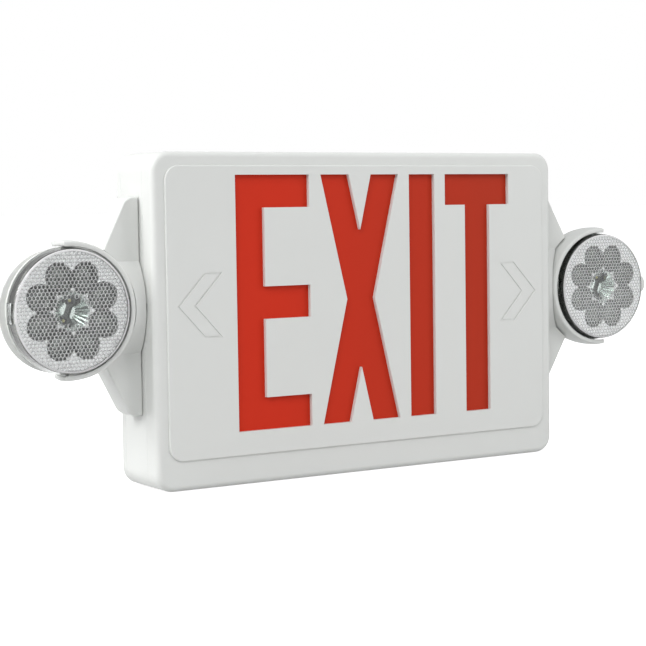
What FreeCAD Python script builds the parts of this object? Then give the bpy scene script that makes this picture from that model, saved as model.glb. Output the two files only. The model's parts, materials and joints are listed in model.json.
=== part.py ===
import FreeCAD, Part
import math
import os
import re
import Sketcher
from FreeCAD import Placement, Rotation, Vector

# Wall-mounted exit sign with two adjustable lamp heads.
# X runs to the right, -Y is the lit face, Z is up. The wall plane is Y = 0 and the
# origin is the middle of the back. All lengths are in millimetres.

driving_sizes = {
    # case
    "case_width": 293.0, "case_height": 198.0, "case_depth": 48.0, "corner_radius": 11.0,
    "wall": 2.4, "cover_depth": 14.0, "plate_depth": 5.5, "face_edge_radius": 3.4,
    "plate_edge_radius": 1.2, "tongue_length": 3.0, "tongue_wall": 1.3, "fit_gap": 0.1,
    # raised panel of the face
    "panel_step": 1.2, "panel_side_margin": 7.9, "panel_top_margin": 8.0,
    "panel_bottom_margin": 17.7, "panel_radius": 9.0, "face_wall": 2.6,
    # legend
    "light_line": 9.2, "letter_height": 152.4, "stroke": 19.5, "e_width": 51.0,
    "x_width": 57.0, "t_width": 50.8, "letter_gap": 8.2, "legend_left": -92.6,
    "x_slant": 20.4, "legend_margin": 5.0, "legend_thickness": 1.8,
    # arrows scored on the face
    "arrow_tip": 132.2, "arrow_half_height": 19.0, "arrow_slope_run": 17.7,
    "arrow_stroke": 12.1, "score_width": 0.9, "score_depth": 0.45,
    # wings
    "wing_front": 18.0, "wing_thickness": 14.0, "wing_half_height": 64.0,
    "wing_flat": 8.8, "horn_reach": 25.0, "horn_half_height": 33.0, "wing_wall": 2.6,
    "wing_edge_radius": 1.2, "shadow_gap": 1.0, "shadow_inset": 1.4,
    "collar_front": 9.6, "collar_half_height": 26.7,
    "wing_screw_up": 46.0, "wing_screw_depth": 25.0, "wing_boss_radius": 3.6,
    "wing_boss_length": 7.0,
    # lamp head
    "head_depth": 16.5, "yoke_radius": 41.4, "yoke_wall": 3.4,
    "yoke_front": 8.9, "yoke_back": 9.5, "yoke_tip": 3.7, "scoop_gap": 0.4,
    "hub_radius": 3.6, "hub_bore": 2.1, "hub_clearance": 0.9, "running_gap": 0.06,
    "yoke_edge_radius": 0.6,
    "boss_radius": 8.0, "boss_thickness": 2.8, "washer_thickness": 0.9,
    "nut_thickness": 2.4, "nut_radius": 5.6,
    "pin_radius": 1.5, "pin_boss_radius": 2.9,
    # lamp module
    "lens_radius": 35.1, "lens_ahead": 12.5, "lens_wall": 1.3, "lens_face": 2.0,
    "rim_ahead": 3.4, "rim_radius": 36.4, "shell_wall": 2.0, "shell_back": 21.0,
    "flange_radius": 40.0, "flange_thickness": 1.6, "flange_angle": 160.0,
    "tab_radius": 5.7, "tab_reach": 44.0,
    "reflector_radius": 33.2, "reflector_gap": 0.6, "reflector_depth": 9.0,
    "petal_count": 8, "petal_ring": 21.2, "petal_radius": 8.5, "petal_floor_radius": 3.2,
    "petal_depth": 6.8, "centre_radius": 13.4, "centre_floor_radius": 9.6,
    "lamp_board_radius": 27.0, "board_thickness": 1.6, "lamp_led_spacing": 11.6,
    "lamp_led_size": 3.6, "lamp_led_height": 1.8,
    # inside the case
    "strip_length": 240.0, "strip_width": 5.6, "strip_led_count": 9, "strip_led_width": 3.5,
    "strip_led_depth": 2.8, "strip_led_height": 1.9,
    "board_width": 82.0, "board_height": 66.0, "board_centre_x": -78.0,
    "board_centre_z": 20.0, "standoff_height": 8.0, "standoff_radius": 3.6,
    "standoff_inset": 5.0, "screw_radius": 1.5, "screw_head_radius": 2.9,
    "screw_head_height": 1.9, "screw_length": 8.0,
    "core_width": 46.0, "core_height": 38.0, "core_depth": 24.0, "coil_width": 30.0,
    "coil_depth": 29.0, "coil_height": 30.0, "core_centre_x": 72.0, "core_centre_z": 22.0,
    "cell_radius": 11.2, "cell_length": 42.5, "cell_gap": 1.4, "cell_neck": 10.6,
    "battery_up": 41.0, "cradle_width": 5.0, "cradle_spacing": 86.0,
    "strap_width": 12.0, "strap_thickness": 1.4, "strap_foot": 11.0,
    "button_x": 62.0, "button_radius": 4.5, "button_recess": 0.5, "button_travel": 2.0,
    "button_gap": 0.3, "button_flange": 6.4, "button_flange_height": 1.2,
    "button_stem": 1.8, "switch_width": 17.0, "switch_height": 7.0, "switch_up": 6.6,
    "bottom_feature_depth": 28.0, "light_x": 80.0, "light_radius": 2.5, "light_flange": 3.7,
    "light_length": 6.0, "light_recess": 0.3,
    # fixings through the back
    "hole_spacing_x": 220.0, "hole_spacing_z": 140.0, "hole_radius": 2.6,
    "entry_radius": 11.1, "entry_z": 24.0, "corner_boss_side": 42.0,
    "corner_boss_radius": 4.4, "corner_boss_length": 14.0, "corner_screw_length": 12.0,
    "wire_port_radius": 3.0, "wire_port_depth": 24.0, "head_clearance": 0.2,
    "boss_bite": 0.6, "plate_rib": 2.0, "rib_height": 6.0, "panel_edge_radius": 0.8,
    "relay_side": 18.0, "relay_height": 12.0, "relay_out": 26.0, "terminal_width": 9.0,
    "terminal_length": 30.0, "terminal_out": 16.0, "capacitor_radius": 5.0,
    "capacitor_height": 14.0, "capacitor_up": 16.0, "capacitor_step": 14.0,
    "light_collar": 1.0, "cup_wall": 1.0, "pin_start": 31.8, "pin_end_gap": 0.5, "post_ring": 22.0,
    "post_radius": 2.6, "post_count": 3, "wing_corner_radius": 9.0,
    "seam_radius": 0.35, "latch_half_height": 5.5, "latch_back": 3.9, "latch_front": 9.5,
    "latch_reach": 37.4, "lens_edge": 0.8,
}

# sizes that follow from the ones above
derived_sizes = {
    "hub_length": "washer_thickness + nut_thickness + boss_thickness + scoop_gap"
                  " + hub_clearance / 2",
    "head_reach": "case_width / 2 + hub_clearance + nut_thickness + washer_thickness"
                  " + boss_thickness + scoop_gap + yoke_radius",
    "battery_z": "battery_up - case_height / 2",
}

doc = FreeCAD.newDocument("exit_light")
sheet = doc.addObject("Spreadsheet::Sheet", "Sizes")
all_sizes = dict(driving_sizes)
for alias, text in derived_sizes.items():
    all_sizes[alias] = "=" + text
for row, (alias, value) in enumerate(all_sizes.items(), 1):
    sheet.set("A%d" % row, alias)
    sheet.set("B%d" % row, str(value))
    sheet.setAlias("B%d" % row, alias)
doc.recompute()


def rule(text):
    """A size rule such as 'case_width / 2 - wall', as an expression on the sheet."""
    return re.sub(r"[a-z_]+\b(?!\()",
                  lambda word: "Sizes." + word.group() if word.group() in all_sizes
                  else word.group(), text)


def read(text):
    """The same rule worked out as a number."""
    if not isinstance(text, str):
        return float(text)
    return float(sheet.evalExpression(rule(text)))


def bind(item, property_name, text):
    if isinstance(text, str):
        item.setExpression(property_name, rule(text))


# ---- sketches and PartDesign features

def new_body(label):
    body = doc.addObject("PartDesign::Body", label)
    body.Label = label
    return body


def sketch_on(body, role, offset=("0", "0", "0")):
    """A sketch on one of the body's own origin planes, moved by the offset."""
    plane = next(item for item in body.Origin.OriginFeatures if item.Role == role)
    sketch = body.newObject("Sketcher::SketchObject", body.Label + "_sketch")
    sketch.AttachmentSupport = (plane, [""])
    sketch.MapMode = "FlatFace"
    for axis, distance in zip("xyz", offset):
        bind(sketch, "AttachmentOffset.Base." + axis, distance)
    return sketch


def pin_point(sketch, geometry, end, point):
    """Ties a sketch point to its two coordinates."""
    for kind, axis_line, text in (("DistanceX", -2, point[0]), ("DistanceY", -1, point[1])):
        number = read(text)
        if abs(number) < 1e-9:
            sketch.addConstraint(Sketcher.Constraint("PointOnObject", geometry, end, axis_line))
            continue
        index = sketch.addConstraint(Sketcher.Constraint(kind, -1, 1, geometry, end, number))
        bind(sketch, "Constraints[%d]" % index, text)


def outline(sketch, corners, bends=None):
    """A closed outline through the corners. A bend makes the side after that corner an
    arc, given as (centre x, centre y, radius)."""
    bends = bends or {}
    spots = [Vector(read(x), read(y), 0) for x, y in corners]
    first = sketch.GeometryCount
    for index, start in enumerate(spots):
        finish = spots[(index + 1) % len(spots)]
        if index in bends:
            centre = Vector(read(bends[index][0]), read(bends[index][1]), 0)
            radius = read(bends[index][2])
            middle = centre + ((start + finish) * 0.5 - centre).normalize() * radius
            sketch.addGeometry(Part.Arc(start, middle, finish), False)
        else:
            sketch.addGeometry(Part.LineSegment(start, finish), False)
    forward = [(sketch.getPoint(first + index, 1) - spot).Length < 1e-6
               for index, spot in enumerate(spots)]
    for index, corner in enumerate(corners):
        after = (index + 1) % len(corners)
        sketch.addConstraint(Sketcher.Constraint(
            "Coincident", first + index, 2 if forward[index] else 1,
            first + after, 1 if forward[after] else 2))
        pin_point(sketch, first + index, 1 if forward[index] else 2, corner)
        if index in bends:
            radius = bends[index][2]
            number = sketch.addConstraint(
                Sketcher.Constraint("Radius", first + index, read(radius)))
            bind(sketch, "Constraints[%d]" % number, radius)


def rounded(sketch, low_x, high_x, low_y, high_y, radius):
    """A rectangle with four rounded corners."""
    lx, hx = "(%s)" % low_x, "(%s)" % high_x
    ly, hy, r = "(%s)" % low_y, "(%s)" % high_y, "(%s)" % radius
    outline(sketch,
            [(lx + " + " + r, ly), (hx + " - " + r, ly), (hx, ly + " + " + r),
             (hx, hy + " - " + r), (hx + " - " + r, hy), (lx + " + " + r, hy),
             (lx, hy + " - " + r), (lx, ly + " + " + r)],
            {1: (hx + " - " + r, ly + " + " + r, radius),
             3: (hx + " - " + r, hy + " - " + r, radius),
             5: (lx + " + " + r, hy + " - " + r, radius),
             7: (lx + " + " + r, ly + " + " + r, radius)})


def ring(sketch, centre, radius):
    """A full circle."""
    spot = Vector(read(centre[0]), read(centre[1]), 0)
    index = sketch.addGeometry(Part.Circle(spot, Vector(0, 0, 1), read(radius)), False)
    pin_point(sketch, index, 3, centre)
    number = sketch.addConstraint(Sketcher.Constraint("Radius", index, read(radius)))
    bind(sketch, "Constraints[%d]" % number, radius)


def feature(body, kind, sketch, length, reverse=False):
    """A Pad or Pocket of the given length."""
    item = body.newObject("PartDesign::" + kind, body.Label + "_" + kind.lower())
    item.Profile = sketch
    bind(item, "Length", length)
    item.Reversed = reverse
    return item


def revolve(body, kind, sketch, angle="360", midplane=False):
    """A Revolution or Groove about the sketch's own upright axis."""
    item = body.newObject("PartDesign::" + kind, body.Label + "_" + kind.lower())
    item.Profile = sketch
    item.ReferenceAxis = (sketch, ["V_Axis"])
    item.Midplane = midplane
    bind(item, "Angle", angle)
    return item


def round_edges(body, base, radius, chosen):
    """A fillet on the edges that the chosen test accepts."""
    doc.recompute()
    edges = ["Edge%d" % (number + 1) for number, edge in enumerate(base.Shape.Edges)
             if chosen(edge)]
    item = body.newObject("PartDesign::Fillet", body.Label + "_fillet")
    item.Base = (base, edges)
    bind(item, "Radius", radius)
    return item


def flat_edge_at(depth):
    """Picks the edges that lie wholly at this depth."""
    number = read(depth)
    return lambda edge: (abs(edge.BoundBox.YMin - number) < 1e-4
                         and abs(edge.BoundBox.YMax - number) < 1e-4)


# ---- Part primitives and booleans

def box(label, low, size):
    item = doc.addObject("Part::Box", label)
    for prop, text in zip(("Length", "Width", "Height"), size):
        bind(item, prop, text)
    for axis, text in zip("xyz", low):
        bind(item, "Placement.Base." + axis, text)
    return item


turns = {"x": Rotation(Vector(0, 1, 0), 90), "y": Rotation(Vector(1, 0, 0), -90),
         "z": Rotation()}


def rod(label, base, radius, length, axis):
    item = doc.addObject("Part::Cylinder", label)
    item.Placement = Placement(Vector(), turns[axis])
    bind(item, "Radius", radius)
    bind(item, "Height", length)
    for name, text in zip("xyz", base):
        bind(item, "Placement.Base." + name, text)
    return item


def taper(label, base, radius_low, radius_high, length, axis):
    item = doc.addObject("Part::Cone", label)
    item.Placement = Placement(Vector(), turns[axis])
    bind(item, "Radius1", radius_low)
    bind(item, "Radius2", radius_high)
    bind(item, "Height", length)
    for name, text in zip("xyz", base):
        bind(item, "Placement.Base." + name, text)
    return item


def ball(label, centre, radius):
    item = doc.addObject("Part::Sphere", label)
    bind(item, "Radius", radius)
    for name, text in zip("xyz", centre):
        bind(item, "Placement.Base." + name, text)
    return item


def fuse(label, parts):
    item = doc.addObject("Part::MultiFuse", label)
    item.Label = label
    item.Shapes = parts
    return item


def cut(label, base, tools):
    item = doc.addObject("Part::Cut", label)
    item.Label = label
    item.Base = base
    item.Tool = tools[0] if len(tools) == 1 else fuse(label + "_tools", tools)
    return item


def common(label, parts):
    item = doc.addObject("Part::MultiCommon", label)
    item.Label = label
    item.Shapes = parts
    return item


def group(label, parts):
    """Like pieces that share one node as separate solids."""
    item = doc.addObject("Part::Compound", label)
    item.Label = label
    item.Links = parts
    return item


# ---- places that several pieces share

right_wall = "case_width / 2"
legend_low = "light_line - letter_height / 2"
legend_high = "light_line + letter_height / 2"
head_y = "head_depth - case_depth"
seam_y = "cover_depth - case_depth"
bottom_y = "bottom_feature_depth - case_depth"
bottom_wall = "wall - case_height / 2"
screw_bore = "screw_radius + running_gap"
nodes = []


def keep(item):
    """Marks a finished sub-part, whose Label names its file."""
    nodes.append(item)
    return item


def case_outline(sketch, inset):
    """The case's rounded outline, drawn in by the inset."""
    rounded(sketch, "(%s) - case_width / 2" % inset, "case_width / 2 - (%s)" % inset,
            "(%s) - case_height / 2" % inset, "case_height / 2 - (%s)" % inset,
            "corner_radius - (%s)" % inset)


def inset(points, distance):
    """The corners of a polygon moved inwards, for outlines drawn anticlockwise."""
    moved = []
    for index, spot in enumerate(points):
        before = (spot - points[index - 1]).normalize()
        after = (points[(index + 1) % len(points)] - spot).normalize()
        left_before = Vector(-before.y, before.x, 0)
        left_after = Vector(-after.y, after.x, 0)
        bisector = left_before + left_after
        moved.append(spot + bisector * (2 * distance / bisector.Length ** 2))
    return moved


# ---- front cover

def letter_outlines():
    """The corners of E, X, I and T."""
    low, high, bar = legend_low, legend_high, "stroke"
    left = "legend_left"
    right = left + " + e_width"
    stem = left + " + stroke"
    letter_e = [(left, low), (right, low), (right, low + " + " + bar),
                (stem, low + " + " + bar), (stem, "light_line - stroke / 2"),
                (right, "light_line - stroke / 2"), (right, "light_line + stroke / 2"),
                (stem, "light_line + stroke / 2"), (stem, high + " - " + bar),
                (right, high + " - " + bar), (right, high), (left, high)]

    left = right + " + letter_gap"
    right = left + " + x_width"
    middle = left + " + x_width / 2"
    notch = "(x_width / 2 - x_slant) * letter_height / (x_width - x_slant)"
    letter_x = [(left, low), (left + " + x_slant", low), (middle, low + " + " + notch),
                (right + " - x_slant", low), (right, low),
                (middle + " + x_slant / 2", "light_line"), (right, high),
                (right + " - x_slant", high), (middle, high + " - " + notch),
                (left + " + x_slant", high), (left, high),
                (middle + " - x_slant / 2", "light_line")]

    left = right + " + letter_gap"
    right = left + " + stroke"
    letter_i = [(left, low), (right, low), (right, high), (left, high)]

    left = right + " + letter_gap"
    right = left + " + t_width"
    middle = left + " + t_width / 2"
    letter_t = [(middle + " - stroke / 2", low), (middle + " + stroke / 2", low),
                (middle + " + stroke / 2", high + " - " + bar), (right, high + " - " + bar),
                (right, high), (left, high), (left, high + " - " + bar),
                (middle + " - stroke / 2", high + " - " + bar)]
    return [letter_e, letter_x, letter_i, letter_t]


def arrow_outline(side):
    """An arrowhead that points away from the legend, anticlockwise."""
    tip, half = read("arrow_tip"), read("arrow_half_height")
    run, stroke, middle = read("arrow_slope_run"), read("arrow_stroke"), read("light_line")
    points = [Vector(tip, middle, 0), Vector(tip - run, middle + half, 0),
              Vector(tip - run - stroke, middle + half, 0), Vector(tip - stroke, middle, 0),
              Vector(tip - run - stroke, middle - half, 0),
              Vector(tip - run, middle - half, 0)]
    if side < 0:
        points = [Vector(-spot.x, spot.y, 0) for spot in reversed(points)]
    return points


def make_front_cover():
    body = new_body("front_cover")
    walls = sketch_on(body, "XZ_Plane", ("0", "0", "case_depth - cover_depth"))
    case_outline(walls, "0")
    block = feature(body, "Pad", walls, "cover_depth - panel_step")
    round_edges(body, block, "face_edge_radius", flat_edge_at("panel_step - case_depth"))

    panel = sketch_on(body, "XZ_Plane", ("0", "0", "case_depth - panel_step"))
    rounded(panel, "panel_side_margin - case_width / 2", "case_width / 2 - panel_side_margin",
            "panel_bottom_margin - case_height / 2", "case_height / 2 - panel_top_margin",
            "panel_radius")
    raised = feature(body, "Pad", panel, "panel_step")
    round_edges(body, raised, "panel_edge_radius", flat_edge_at("0 - case_depth"))

    hollow = sketch_on(body, "XZ_Plane", ("0", "0", "case_depth - cover_depth"))
    case_outline(hollow, "wall")
    hollowed = feature(body, "Pocket", hollow, "cover_depth - face_wall", True)
    round_edges(body, hollowed, "seam_radius", flat_edge_at(seam_y))

    legend = sketch_on(body, "XZ_Plane", ("0", "0", "case_depth"))
    for letter in letter_outlines():
        outline(legend, letter)
    feature(body, "Pocket", legend, "2 * face_wall")

    scores = sketch_on(body, "XZ_Plane", ("0", "0", "case_depth"))
    for side in (1, -1):
        points = arrow_outline(side)
        outline(scores, [(spot.x, spot.y) for spot in points])
        outline(scores, [(spot.x, spot.y) for spot in inset(points, read("score_width"))])
    feature(body, "Pocket", scores, "score_depth")
    return keep(body)


def make_legend_panel():
    body = new_body("legend_panel")
    sheet_outline = sketch_on(
        body, "XZ_Plane", ("0", "0", "case_depth - face_wall - legend_thickness"))
    rounded(sheet_outline, "0 - arrow_tip - legend_margin", "arrow_tip + legend_margin",
            legend_low + " - legend_margin", legend_high + " + legend_margin", "legend_margin")
    feature(body, "Pad", sheet_outline, "legend_thickness")
    return keep(body)


def make_light_boards():
    """Two LED strips that light the legend panel from above and below."""
    front = "face_wall + legend_thickness - case_depth"
    diodes = []
    for label, up, side in (("upper_light_board", "case_height / 2 - wall - board_thickness", 1),
                            ("lower_light_board", bottom_wall, -1)):
        keep(box(label, ("0 - strip_length / 2", front, up),
                 ("strip_length", "strip_width", "board_thickness")))
        led_low = (up + " - strip_led_height") if side > 0 else (up + " + board_thickness")
        for index in range(int(read("strip_led_count"))):
            along = "strip_length * (%d + 0.5) / strip_led_count" % index
            diodes.append(box("strip_led", (along + " - strip_length / 2 - strip_led_width / 2",
                                            front + " + strip_width / 2 - strip_led_depth / 2",
                                            led_low),
                              ("strip_led_width", "strip_led_depth", "strip_led_height")))
    keep(group("legend_leds", diodes))


# ---- rear housing and back plate

def mirrored_pairs(x, z):
    """The four places at plus and minus x and z."""
    return [(sx + "(" + x + ")", sz + "(" + z + ")") for sx in ("", "0 - ")
            for sz in ("", "0 - ")]


corner_bosses = mirrored_pairs("case_width / 2 - corner_boss_side",
                               "case_height / 2 - wall - corner_boss_radius + boss_bite")


def make_rear_housing():
    body = new_body("housing_blank")
    walls = sketch_on(body, "XZ_Plane", ("0", "0", "plate_depth"))
    case_outline(walls, "0")
    case_outline(walls, "wall")
    frame = feature(body, "Pad", walls, "case_depth - cover_depth - plate_depth")
    round_edges(body, frame, "seam_radius",
                lambda edge: flat_edge_at(seam_y)(edge) or flat_edge_at("0 - plate_depth")(edge))

    root = sketch_on(body, "XZ_Plane", ("0", "0", "case_depth - cover_depth - tongue_length"))
    case_outline(root, "wall - boss_bite")
    case_outline(root, "wall + tongue_wall")
    feature(body, "Pad", root, "tongue_length")
    tongue = sketch_on(body, "XZ_Plane", ("0", "0", "case_depth - cover_depth"))
    case_outline(tongue, "wall + fit_gap")
    case_outline(tongue, "wall + tongue_wall")
    feature(body, "Pad", tongue, "tongue_length")

    bosses = sketch_on(body, "XZ_Plane", ("0", "0", "plate_depth"))
    for spot in corner_bosses:
        ring(bosses, spot, "corner_boss_radius")
    feature(body, "Pad", bosses, "corner_boss_length")
    bores = sketch_on(body, "XZ_Plane", ("0", "0", "plate_depth"))
    for spot in corner_bosses:
        ring(bores, spot, screw_bore)
    feature(body, "Pocket", bores, "corner_screw_length - wall + head_clearance", True)

    switch_posts = [box("switch_post", ("button_x + " + offset, bottom_y + " - switch_width / 4",
                                        bottom_wall + " - boss_bite"),
                        ("switch_width / 2 - button_flange - 2 * button_gap",
                         "switch_width / 2", "switch_up + boss_bite"))
                    for offset in ("button_flange + 2 * button_gap",
                                   "(0 - switch_width / 2)")]
    holes = [rod("button_hole", ("button_x", bottom_y, "0 - case_height / 2 - wall"),
                 "button_radius + button_gap", "3 * wall", "z"),
             rod("light_hole", ("light_x", bottom_y, "0 - case_height / 2 - wall"),
                 "light_radius + running_gap", "3 * wall", "z"),
             rod("wire_port", ("0 - case_width", "wire_port_depth - case_depth", "light_line"),
                 "wire_port_radius", "2 * case_width", "x")]
    for up in ("light_line + wing_screw_up", "light_line - wing_screw_up"):
        holes.append(rod("wing_screw_hole", ("0 - case_width",
                                             "wing_screw_depth - case_depth", up),
                         screw_bore, "2 * case_width", "x"))
    keep(cut("rear_housing", fuse("housing_with_posts", [body] + switch_posts), holes))


board_holes = [("board_centre_x + (%s)" % x, "board_centre_z + (%s)" % z) for x, z in
               mirrored_pairs("board_width / 2 - standoff_inset",
                              "board_height / 2 - standoff_inset")]
strap_holes = [("0", "battery_z + " + text) for text in
               ("cell_radius + fit_gap + strap_thickness + strap_foot / 2",
                "(0 - cell_radius - fit_gap - strap_thickness - strap_foot / 2)")]
battery_y = "0 - wall - cell_gap - cell_radius"


def make_back_plate():
    body = new_body("plate_blank")
    block_outline = sketch_on(body, "XZ_Plane")
    case_outline(block_outline, "0")
    block = feature(body, "Pad", block_outline, "plate_depth")
    round_edges(body, block, "plate_edge_radius", flat_edge_at("0"))
    hollow = sketch_on(body, "XZ_Plane", ("0", "0", "plate_depth"))
    case_outline(hollow, "wall")
    hollowed = feature(body, "Pocket", hollow, "plate_depth - wall")
    round_edges(body, hollowed, "seam_radius", flat_edge_at("0 - plate_depth"))

    bosses = sketch_on(body, "XZ_Plane", ("0", "0", "wall - boss_bite"))
    for spot in corner_bosses:
        ring(bosses, spot, "corner_boss_radius")
    feature(body, "Pad", bosses, "plate_depth - wall + boss_bite")
    standoffs = sketch_on(body, "XZ_Plane", ("0", "0", "wall - boss_bite"))
    for spot in board_holes + strap_holes:
        ring(standoffs, spot, "standoff_radius")
    feature(body, "Pad", standoffs, "standoff_height + boss_bite")

    pilots = sketch_on(body, "XZ_Plane", ("0", "0", "wall + standoff_height"))
    for spot in board_holes + strap_holes:
        ring(pilots, spot, screw_bore)
    feature(body, "Pocket", pilots, "standoff_height")
    seats = sketch_on(body, "XZ_Plane")
    for spot in corner_bosses:
        ring(seats, spot, "screw_head_radius + head_clearance")
    feature(body, "Pocket", seats, "screw_head_height + head_clearance", True)
    through = sketch_on(body, "XZ_Plane")
    for spot in corner_bosses:
        ring(through, spot, screw_bore)
    for spot in mirrored_pairs("hole_spacing_x / 2", "hole_spacing_z / 2"):
        ring(through, spot, "hole_radius")
    ring(through, ("0", "entry_z"), "entry_radius")
    feature(body, "Pocket", through, "2 * plate_depth", True)

    cradles = []
    for offset in ("cradle_spacing / 2", "(0 - cradle_spacing / 2)"):
        cradles.append(box("cradle", (offset + " - cradle_width / 2", battery_y,
                                      "battery_z - cell_radius"),
                           ("cradle_width", "cell_radius + cell_gap + boss_bite",
                            "2 * cell_radius")))
    cell_room = rod("cell_room", ("0 - case_width / 2", battery_y, "battery_z"),
                    "cell_radius + fit_gap", "case_width", "x")
    ribs = []
    for offset in ("core_width / 2 + fit_gap", "(0 - core_width / 2 - fit_gap - plate_rib)"):
        ribs.append(box("core_rib", ("core_centre_x + " + offset, "0 - wall - rib_height",
                                     "core_centre_z - core_height / 2"),
                        ("plate_rib", "rib_height + boss_bite", "core_height")))
    saddle = cut("battery_cradle", fuse("cradle_blocks", cradles), [cell_room])
    keep(fuse("back_plate", [body, saddle] + ribs))


# ---- electrical pieces

def screw(base, axis, forward, length):
    """A pan-head screw whose head seats at the base. Forward is +1 along the axis."""
    back = 1 if forward < 0 else 0
    index = "xyz".index(axis)
    shaft_base, head_base = list(base), list(base)
    if back:
        shaft_base[index] = "%s - (%s)" % (base[index], length)
    else:
        head_base[index] = "%s - screw_head_height" % base[index]
    return fuse("screw", [rod("shaft", shaft_base, "screw_radius", length, axis),
                          rod("head", head_base, "screw_head_radius", "screw_head_height",
                              axis)])


def make_electrics():
    board_y = "0 - wall - standoff_height - board_thickness"
    board = box("board", ("board_centre_x - board_width / 2", board_y,
                          "board_centre_z - board_height / 2"),
                ("board_width", "board_thickness", "board_height"))
    relay = box("relay", ("board_centre_x - relay_out", board_y + " - relay_height",
                          "board_centre_z - relay_side"),
                ("relay_side", "relay_height + boss_bite", "relay_side"))
    terminals = box("terminals", ("board_centre_x + terminal_out",
                                  board_y + " - terminal_width",
                                  "board_centre_z - terminal_length / 2"),
                    ("terminal_width", "terminal_width + boss_bite", "terminal_length"))
    cans = [rod("capacitor", (x, board_y + " - capacitor_height",
                              "board_centre_z + capacitor_up"),
                "capacitor_radius", "capacitor_height + boss_bite", "y")
            for x in ("board_centre_x", "board_centre_x - capacitor_step")]
    drilled = [rod("board_hole", (x, board_y + " - board_thickness", z), screw_bore,
                   "3 * board_thickness", "y") for x, z in board_holes]
    keep(cut("control_board", fuse("board_with_parts", [board, relay, terminals] + cans),
             drilled))

    core = box("core", ("core_centre_x - core_width / 2", "0 - wall - core_depth",
                        "core_centre_z - core_height / 2"),
               ("core_width", "core_depth", "core_height"))
    coil = box("coil", ("core_centre_x - coil_width / 2",
                        "0 - wall - core_depth / 2 - coil_depth / 2",
                        "core_centre_z - coil_height / 2"),
               ("coil_width", "coil_depth", "coil_height"))
    above_floor = box("above_floor", ("0", "0 - case_depth", "0 - case_height / 2"),
                      ("case_width", "case_depth - wall", "case_height"))
    keep(common("transformer", [fuse("core_and_coil", [core, coil]), above_floor]))

    cells = [rod("cell", ("cell_length * (%s) + (%s) * fit_gap" % (start, start), battery_y,
                          "battery_z"), "cell_radius", "cell_length", "x")
             for start in ("0 - 1.5", "0 - 0.5", "0.5")]
    neck = rod("wrap", ("0 - 1.5 * cell_length", battery_y, "battery_z"), "cell_neck",
               "3 * cell_length", "x")
    keep(fuse("battery_pack", cells + [neck]))

    top = "0 - wall - cell_gap - 2 * cell_radius - fit_gap - strap_thickness"
    half = "cell_radius + fit_gap"
    arch_depth = "2 * cell_radius + cell_gap + fit_gap + strap_thickness - standoff_height"
    arch = box("arch", ("0 - strap_width / 2", top, "battery_z - (%s) - strap_thickness" % half),
               ("strap_width", arch_depth, "2 * (%s) + 2 * strap_thickness" % half))
    arch_room = box("arch_room", ("0 - strap_width", top + " + strap_thickness",
                                  "battery_z - (%s)" % half),
                    ("2 * strap_width", arch_depth, "2 * (%s)" % half))
    feet = box("feet", ("0 - strap_width / 2", "0 - wall - standoff_height - strap_thickness",
                        "battery_z - (%s) - strap_thickness - strap_foot" % half),
               ("strap_width", "strap_thickness",
                "2 * ((%s) + strap_thickness + strap_foot)" % half))
    strap_bores = [rod("strap_hole", (x, "0 - wall - standoff_height - 2 * strap_thickness", z),
                       screw_bore, "3 * strap_thickness", "y") for x, z in strap_holes]
    keep(cut("battery_strap", fuse("strap_blank", [arch, feet]), [arch_room] + strap_bores))

    screws = [screw((x, board_y, z), "y", 1, "screw_length") for x, z in board_holes]
    screws += [screw((x, "0 - wall - standoff_height - strap_thickness", z), "y", 1,
                     "screw_length") for x, z in strap_holes]
    keep(group("board_screws", screws))
    head_seat = "0 - screw_head_height - head_clearance"
    keep(group("plate_screws", [screw((x, head_seat, z), "y", -1, "corner_screw_length")
                                for x, z in corner_bosses]))


def make_test_button():
    """Push button and lamp on the underside, with the switch that the button works."""
    low = "button_recess - case_height / 2"
    flange = bottom_wall + " + fit_gap"
    stem_top = bottom_wall + " + switch_up - button_travel - button_gap"
    cap = rod("cap", ("button_x", bottom_y, low), "button_radius",
              "wall - button_recess + fit_gap + button_flange_height", "z")
    disc = rod("flange", ("button_x", bottom_y, flange), "button_flange",
               "button_flange_height", "z")
    stem = rod("stem", ("button_x", bottom_y, flange), "button_stem",
               "switch_up - button_travel - button_gap - fit_gap", "z")
    keep(fuse("test_button", [cap, disc, stem]))
    keep(box("test_switch", ("button_x - switch_width / 2", bottom_y + " - switch_width / 4",
                             bottom_wall + " + switch_up"),
             ("switch_width", "switch_width / 2", "switch_height")))
    keep(fuse("status_light", [
        rod("light_body", ("light_x", bottom_y, "light_recess - case_height / 2"),
            "light_radius", "light_length", "z"),
        rod("light_collar", ("light_x", bottom_y, bottom_wall), "light_flange",
            "light_collar", "z")]))


# ---- right-hand wing, arm and lamp, then their mirror images

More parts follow.
